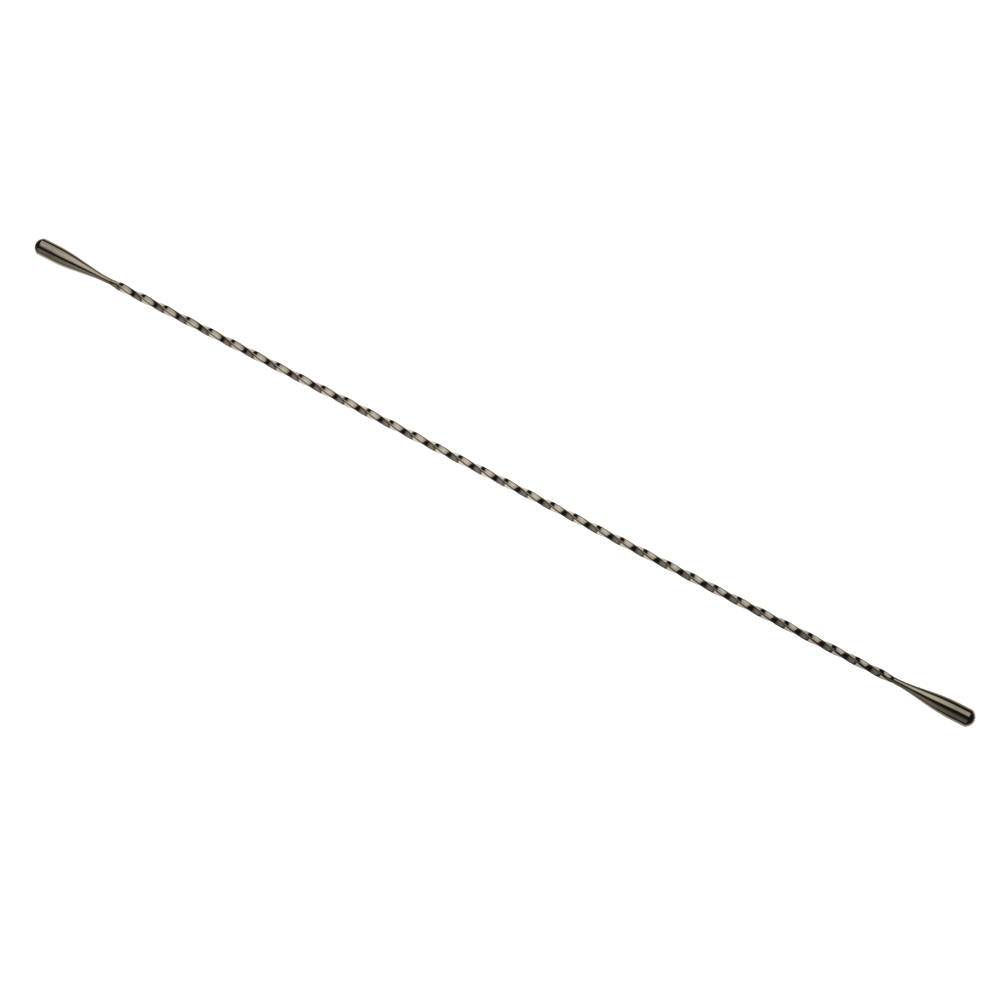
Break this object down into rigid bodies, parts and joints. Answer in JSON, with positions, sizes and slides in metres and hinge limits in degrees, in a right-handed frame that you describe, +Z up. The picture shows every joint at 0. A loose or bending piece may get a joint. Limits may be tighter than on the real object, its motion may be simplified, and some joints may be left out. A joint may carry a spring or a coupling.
{
  "type": "bar stirrer",
  "caption": "Long double-ended bar stirrer: a right-hand twisted square steel shaft with a solid weighted teardrop brazed on at each end, in polished dark gunmetal.",
  "frame": {"origin": "on the surface that the stirrer lies on, under its axis, midway between the two tips", "axes": "+X along the stirrer from the left tip to the right tip, +Z up, +Y completes the right-handed frame; the shaft's axis is parallel to X at half the belly's diameter above the surface"},
  "size_m": [0.4, 0.0072, 0.0071],
  "materials": {
    "shaft_gunmetal": "polished stainless steel with a thin warm grey gunmetal coating, mirror-like on the flats, drawn lines along the twist, the coating slightly darker along the four corners",
    "teardrop_gunmetal": "turned and polished stainless steel with a thin warm grey gunmetal coating, mirror-like, with very fine turning lines round the axis",
    "braze_filler": "silver brazing alloy, ground flush and coated with the rest where it shows"
  },
  "bodies": {
    "root": {"twisted_shaft": "shaft_gunmetal", "left_teardrop": "teardrop_gunmetal", "right_teardrop": "teardrop_gunmetal", "left_braze_joint": "braze_filler", "right_braze_joint": "braze_filler"}
  },
  "joints": []
}
